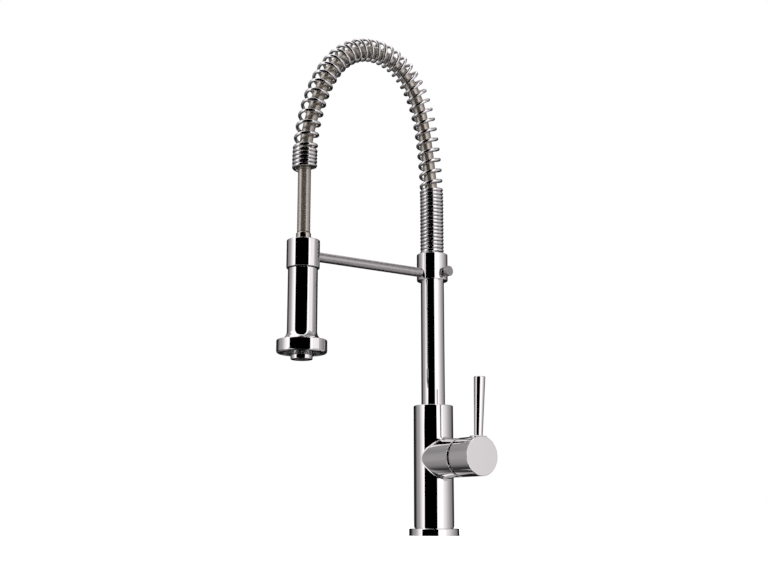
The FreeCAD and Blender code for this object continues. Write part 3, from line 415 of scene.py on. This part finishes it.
def make_hose(name, begin, end, node):
    rings = max(2, round((end - begin) / HOSE_STEP)) + 1
    verts, crests = [], []
    for ring in range(rings):
        along = begin + (end - begin) * ring / (rings - 1)
        centre, ahead, inward = hose_point(along)
        beside = ahead.cross(inward)
        for side in range(HOSE_SIDES):
            angle = 2 * math.pi * side / HOSE_SIDES
            height = braid(angle, along)
            radius = HOSE_RADIUS - BRAID_DEPTH * (1 - height)
            verts.append(centre + (inward * math.cos(angle) + beside * math.sin(angle)) * radius)
            crests.append(height)
    hose = make_mesh(name, verts, skin(rings, HOSE_SIDES), finishes["braided_hose"], crests)
    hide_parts(node)
    return hose


def make_hoses():
    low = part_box("hose_main")[0][2] / MM - RISER_TOP
    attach(make_hose("hose_braid_arch", low, arch.total, "hose_main"), "spout")
    foot, head = (corner[2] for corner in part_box("hose_drop"))
    drop = make_hose("hose_braid_drop", arch.total, arch.total + (head - foot) / MM, "hose_drop")
    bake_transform(drop)


make_spring()
make_hoses()

# Studio: the room's light levels by bearing, in degrees, from its floor to its ceiling.
FLOOR_LEVELS = [(-180, 0.01), (-150, 0.01), (-149, 0.5), (-147, 0.5), (-146, 0.01), (-124, 0.05),
                (-113, 0.24), (-104, 0.34), (-94, 0.02), (50, 0.02), (60, 0.5), (125, 0.5),
                (135, 0.01), (180, 0.01)]
WALL_LEVELS = [(-180, 0.01), (-131, 0.01), (-119, 0.15), (-107, 0.36), (-97, 0.36), (-85, 0.53),
               (-72, 0.96), (-58, 1.25), (52, 1.25), (58, 1.0), (73, 0.8), (95, 0.48), (114, 0.31),
               (131, 0.2), (135, 0.03), (180, 0.01)]
SLOPE_LEVELS = [(-180, 0.01), (-172, 0.01), (-170, 1.0), (-167, 1.0), (-165, 0.08), (-151, 0.08),
                (-149, 0.7), (-146, 0.7), (-144, 0.3), (-105, 0.34), (-84, 1.25), (52, 1.25),
                (62, 0.45), (125, 0.42), (135, 0.05), (180, 0.01)]
CEILING_LEVELS = [(-180, 1.2), (50, 1.2), (62, 0.25), (125, 0.25), (135, 1.2), (180, 1.2)]
# Elevation, by bearing, at which the floor's level ends and the walls' begins.
FLOOR_EDGES = [(-180, -10), (-95, -10), (-85, -38), (52, -38), (60, -10), (180, -10)]
FLOOR_EDGE_WIDTH = 5
# Depths over which the floor's light fades, and elevations over which the slope and the ceiling begin.
FLOOR_DEPTHS = (60, 88)
SLOPE_ELEVATIONS = (14, 32)
CEILING_ELEVATIONS = (42, 52)
STUDIO_RADIUS = 4.0
STUDIO_CENTRE = 0.25
STUDIO_TINT = (1.0, 0.95, 0.972)
STUDIO_COLUMNS = 360
STUDIO_ROWS = 90

# Cards by their two ends, in metres: right of the camera's line, towards the camera, foot, top; then level.
FRONT_FLAG = [(-0.9, 0.76, -0.2, 5.0, 0.0), (0.111, 0.335, -0.2, 2.0, 0.0)]
# The low flag widens the front one near the floor.
LOW_FLAG = [(-0.971, 0.667, -0.2, 0.2, 0.0), (-0.9, 0.76, -0.2, 0.27, 0.0)]
SIDE_CARD = [(0.17, 0.106, 0.175, 0.36, 0.95), (1.27, 0.795, 0.35, 0.62, 1.2)]

# Lamps: bearing, distance, height, width and length of the lit face, and power in watts.
LAMPS = {
    "key": (-70, 1.5, 1.1, 0.9, 1.2, 22),
    "fill": (40, 1.5, 0.9, 0.9, 1.2, 14),
    "top": (180, 0.3, 1.7, 1.2, 1.2, 14),
}
LAMP_AIM = (0, -0.07, 0.2)

# The world's strength as light, and where a ray looks past the object.
WORLD_LIGHT = 0.6
WORLD_SEEN = 1.0

# The floor's half width and tones, and the painted glow that whitens it with the distance from the object.
FLOOR_HALF = 8.0
FLOOR_TONES = ((0.9, 0.9, 0.9), (0.92, 0.92, 0.92))
FAR_GLOW_BEGIN = 0.15
FAR_GLOW_END = 0.8
FAR_GLOW_STRENGTH = 0.5


def bearing_point(bearing, distance):
    """A point in plan; bearings turn from the line to the camera towards the right of the picture."""
    turn = CAMERA_AZIMUTH + math.radians(bearing)
    return Vector((math.sin(turn) * distance, -math.cos(turn) * distance, 0))


def glow(name):
    """A surface's own light, by its attribute level; only mirrors find it, so dark bands stay clean."""
    s = Shader(name)
    shine = s.add("ShaderNodeEmission", Color=(*STUDIO_TINT, 1), Strength=s.attribute("level"))
    s.material.cycles.emission_sampling = "NONE"
    return s.finish(shine.outputs["Emission"])


def make_glowing(name, verts, faces, levels, light):
    """A lit part of the studio that is seen in reflections alone."""
    mesh = bpy.data.meshes.new(name)
    mesh.from_pydata(verts, [], faces)
    mesh.attributes.new("level", "FLOAT", "POINT").data.foreach_set("value", levels)
    mesh.materials.append(glow(light))
    obj = link(bpy.data.objects.new(name, mesh))
    obj.visible_camera = False
    obj.visible_diffuse = False
    obj.visible_shadow = False
    obj.visible_transmission = False


def level_at(levels, bearing):
    for (left, first), (right, second) in zip(levels, levels[1:]):
        if left <= bearing <= right:
            return first + (second - first) * (bearing - left) / (right - left)


def ramp(value, begin, end):
    return smooth((value - begin) / (end - begin))


def studio_level(bearing, elevation):
    """The room's light in a direction: the floor's, then each higher band's over the one below."""
    edge = level_at(FLOOR_EDGES, bearing)
    half = FLOOR_EDGE_WIDTH / 2
    bands = (
        (WALL_LEVELS, (edge - half, edge + half)),
        (SLOPE_LEVELS, SLOPE_ELEVATIONS),
        (CEILING_LEVELS, CEILING_ELEVATIONS),
    )
    level = level_at(FLOOR_LEVELS, bearing) * (1 - ramp(-elevation, *FLOOR_DEPTHS))
    for levels, limits in bands:
        level += (level_at(levels, bearing) - level) * ramp(elevation, *limits)
    return level


def make_studio():
    """A room of light round the set, whose level changes with the direction."""
    verts, faces, levels = [], [], []
    for row in range(STUDIO_ROWS + 1):
        elevation = -90 + 180 * row / STUDIO_ROWS
        lift = math.radians(elevation)
        for column in range(STUDIO_COLUMNS):
            bearing = -180 + 360 * column / STUDIO_COLUMNS
            point = bearing_point(bearing, STUDIO_RADIUS * math.cos(lift))
            point.z = STUDIO_CENTRE + STUDIO_RADIUS * math.sin(lift)
            verts.append(point)
            levels.append(studio_level(bearing, elevation))
    for row in range(STUDIO_ROWS):
        first = row * STUDIO_COLUMNS
        above = first + STUDIO_COLUMNS
        for column in range(STUDIO_COLUMNS):
            after = (column + 1) % STUDIO_COLUMNS
            faces.append((first + column, first + after, above + after, above + column))
    make_glowing("studio_room", verts, faces, levels, "room_light")


def make_card(name, ends):
    toward = bearing_point(0, 1)
    right = bearing_point(90, 1)
    verts, levels = [], []
    for side, near, foot, top, level in ends:
        point = right * side + toward * near
        verts += [(point.x, point.y, foot), (point.x, point.y, top)]
        levels += [level, level]
    make_glowing(name, verts, [(0, 2, 3, 1)], levels, name + "_light")


def make_floor():
    """Pale ground that keeps the shadow near the object, with a painted glow that runs it out to white."""
    corners = ((-1, -1), (1, -1), (1, 1), (-1, 1))
    mesh = bpy.data.meshes.new("floor")
    mesh.from_pydata([(x * FLOOR_HALF, y * FLOOR_HALF, 0) for x, y in corners], [], [(0, 1, 2, 3)])
    s = Shader("pale_floor")
    speck = s.noise(scale=14.0, detail=2.0)
    paint = s.add("ShaderNodeBsdfDiffuse", Color=s.blend(s.spread(speck, 0, 1), *FLOOR_TONES))
    # Painted glow: the floor gives off its own light, rising with its distance from the object.
    far = s.add("ShaderNodeVectorMath", {"operation": "LENGTH"}, Vector=s.coordinates())
    strength = s.spread(far.outputs["Value"], 0, FAR_GLOW_STRENGTH, FAR_GLOW_BEGIN, FAR_GLOW_END)
    far_glow = s.add("ShaderNodeEmission", Strength=strength)
    both = s.add("ShaderNodeAddShader")
    s.put(both.inputs[0], paint.outputs["BSDF"])
    s.put(both.inputs[1], far_glow.outputs["Emission"])
    mesh.materials.append(s.finish(both.outputs["Shader"]))
    floor = link(bpy.data.objects.new("floor", mesh))
    floor.visible_glossy = False


def make_lamp(name, bearing, distance, height, width, length, power):
    data = bpy.data.lights.new(name, "AREA")
    data.shape = "RECTANGLE"
    data.size = width
    data.size_y = length
    data.energy = power
    lamp = link(bpy.data.objects.new(name, data))
    lamp.location = bearing_point(bearing, distance) + Vector((0, 0, height))
    lamp.rotation_mode = "QUATERNION"
    lamp.rotation_quaternion = (Vector(LAMP_AIM) - lamp.location).to_track_quat("-Z", "Y")
    lamp.visible_glossy = False


def make_world():
    """Even light, and white where the camera, a mirror or glass looks past the object."""
    world = bpy.data.worlds.new("studio")
    bpy.context.scene.world = world
    world.use_nodes = True
    tree = world.node_tree
    tree.nodes.clear()

    def either(first, second):
        node = tree.nodes.new("ShaderNodeMath")
        node.operation = "MAXIMUM"
        tree.links.new(first, node.inputs[0])
        tree.links.new(second, node.inputs[1])
        return node.outputs[0]

    path = tree.nodes.new("ShaderNodeLightPath")
    direct = either(path.outputs["Is Camera Ray"], path.outputs["Is Glossy Ray"])
    seen = either(direct, path.outputs["Is Transmission Ray"])
    level = tree.nodes.new("ShaderNodeMapRange")
    level.inputs["To Min"].default_value = WORLD_LIGHT
    level.inputs["To Max"].default_value = WORLD_SEEN
    tree.links.new(seen, level.inputs["Value"])
    sky = tree.nodes.new("ShaderNodeBackground")
    sky.inputs["Color"].default_value = (1, 1, 1, 1)
    tree.links.new(level.outputs["Result"], sky.inputs["Strength"])
    output = tree.nodes.new("ShaderNodeOutputWorld")
    tree.links.new(sky.outputs["Background"], output.inputs["Surface"])


make_world()
make_floor()
make_studio()
make_card("front_flag", FRONT_FLAG)
make_card("low_flag", LOW_FLAG)
make_card("side_card", SIDE_CARD)
for name, values in LAMPS.items():
    make_lamp(name, *values)
bpy.context.scene.view_settings.view_transform = "Standard"
